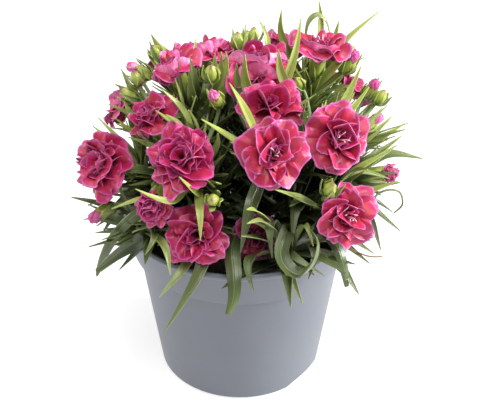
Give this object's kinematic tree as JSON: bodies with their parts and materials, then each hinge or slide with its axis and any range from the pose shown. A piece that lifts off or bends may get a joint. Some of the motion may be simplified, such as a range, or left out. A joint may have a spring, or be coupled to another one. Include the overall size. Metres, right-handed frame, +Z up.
{
  "type": "potted dianthus plant",
  "caption": "Bushy double-flowered dianthus with narrow leaves, buds and ruffled magenta blooms, growing in peat in a tapered nursery pot.",
  "frame": {"origin": "centre of the pot's flat underside, on the surface it stands on", "axes": "+Z up along the pot's axis, -Y towards the plant's front, +X to the right seen from the front"},
  "size_m": [0.1846, 0.1708, 0.211],
  "materials": {
    "pot": "blue-grey moulded plastic, satin, slightly darker inside",
    "soil": "damp dark peat with fine fibres, fully matte",
    "petals": "velvety crimson-magenta petals with lilac-pink margins",
    "leaves": "satin green leaves, stems and calyces, lime green on young growth",
    "bud_tips": "furled pink petal tips, soft sheen"
  },
  "bodies": {
    "root": {"pot": "pot", "soil": "soil", "bloom_01": "petals", "bloom_02": "petals", "bloom_03": "petals", "bloom_04": "petals", "bloom_05": "petals", "bloom_06": "petals", "bloom_07": "petals", "bloom_08": "petals", "bloom_09": "petals", "bloom_10": "petals", "bloom_11": "petals", "bloom_12": "petals", "bloom_13": "petals", "bloom_14": "petals", "bloom_15": "petals", "bloom_16": "petals", "bloom_17": "petals", "bloom_18": "petals", "bloom_19": "petals", "bloom_20": "petals", "bloom_21": "petals", "bloom_22": "petals", "bloom_23": "petals", "flower_stem_01": "leaves", "flower_stem_02": "leaves", "flower_stem_03": "leaves", "flower_stem_04": "leaves", "flower_stem_05": "leaves", "flower_stem_06": "leaves", "flower_stem_07": "leaves", "flower_stem_08": "leaves", "flower_stem_09": "leaves", "flower_stem_10": "leaves", "flower_stem_11": "leaves", "flower_stem_12": "leaves", "flower_stem_13": "leaves", "flower_stem_14": "leaves", "flower_stem_15": "leaves", "flower_stem_16": "leaves", "flower_stem_17": "leaves", "flower_stem_18": "leaves", "flower_stem_19": "leaves", "flower_stem_20": "leaves", "flower_stem_21": "leaves", "flower_stem_22": "leaves", "flower_stem_23": "leaves", "leafy_shoot_1": "leaves", "leafy_shoot_2": "leaves", "leafy_shoot_3": "leaves", "leafy_shoot_4": "leaves", "bud_tip_1": "bud_tips", "bud_tip_2": "bud_tips", "bud_tip_3": "bud_tips", "bud_tip_4": "bud_tips", "bud_tip_5": "bud_tips", "bud_tip_6": "bud_tips", "bud_tip_7": "bud_tips"}
  },
  "joints": []
}
